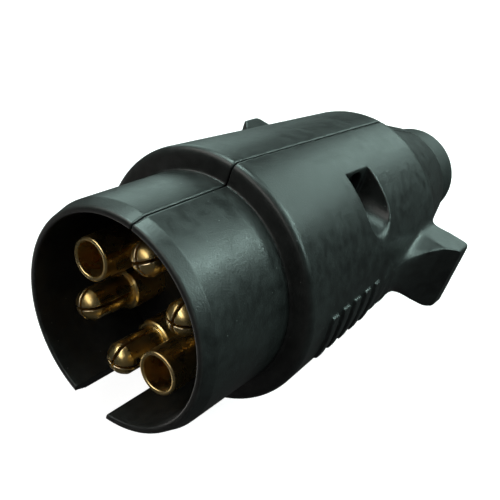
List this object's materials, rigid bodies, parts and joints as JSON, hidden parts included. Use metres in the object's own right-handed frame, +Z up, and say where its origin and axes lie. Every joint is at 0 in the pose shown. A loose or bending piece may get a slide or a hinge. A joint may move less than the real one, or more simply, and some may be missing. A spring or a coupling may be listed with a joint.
{
  "type": "trailer plug",
  "caption": "Round trailer lighting plug with a two-half moulded shell, finger wings, a keyed shroud, split pin and tube contacts, and a rubber cable grommet.",
  "frame": {"origin": "on the plug axis at the seating shoulder, where the shroud leaves the grip", "axes": "+Y along the plug axis towards the cable, so the contacts face -Y; +Z up, so the keyway is at the bottom; +X to the right when seen from behind the contacts' face, so the wings point along +X and -X"},
  "size_m": [0.0648, 0.1205, 0.0524],
  "materials": {
    "shell": "moulded, satin",
    "insulator": "moulded, matt",
    "retainer": "laminated insulating board",
    "strap": "moulded, satin",
    "contact": "turned, bright",
    "screw": "zinc plated",
    "rubber": "moulded, matt"
  },
  "bodies": {
    "root": {"left_shell": "shell", "right_shell": "shell", "contact_carrier": "insulator", "contact_retainer": "retainer", "retainer_screw": "screw", "top_split_pin": "contact", "right_split_pin": "contact", "bottom_split_pin": "contact", "left_split_pin": "contact", "left_tube_contact": "contact", "right_tube_contact": "contact", "top_terminal_screw": "screw", "right_terminal_screw": "screw", "bottom_terminal_screw": "screw", "left_terminal_screw": "screw", "left_tube_terminal_screw": "screw", "right_tube_terminal_screw": "screw", "upper_shell_screw": "screw", "lower_shell_screw": "screw", "cable_clamp_strap": "strap", "upper_clamp_screw": "screw", "lower_clamp_screw": "screw", "cable_grommet": "rubber"}
  },
  "joints": []
}
